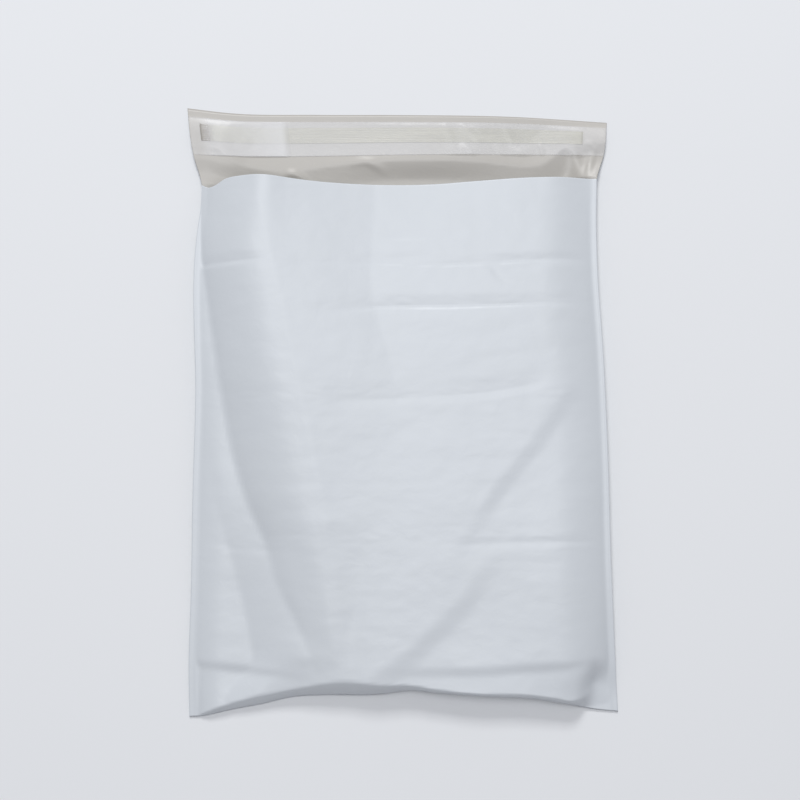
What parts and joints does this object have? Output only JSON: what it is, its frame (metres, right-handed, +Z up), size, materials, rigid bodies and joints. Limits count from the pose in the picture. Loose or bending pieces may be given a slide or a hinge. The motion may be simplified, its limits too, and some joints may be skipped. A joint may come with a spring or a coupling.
{
  "type": "poly mailer bag",
  "caption": "Flat film mailing bag lying face up and lightly filled, flap open to show its grey inner face, adhesive strip and release liner.",
  "frame": {"origin": "on the surface that the bag lies on, under the middle of its outline", "axes": "+Z up, +Y from the bottom fold towards the flap, +X to the right of the front panel"},
  "size_m": [0.258, 0.365, 0.0244],
  "materials": {
    "film": "co-extruded polyethylene film, satin white outside and warm light grey inside",
    "adhesive": "clear, faintly yellow hot-melt adhesive",
    "liner": "thin translucent silicone-coated film"
  },
  "bodies": {
    "root": {"film_bag": "film", "adhesive_strip": "adhesive", "release_liner": "liner"}
  },
  "joints": []
}
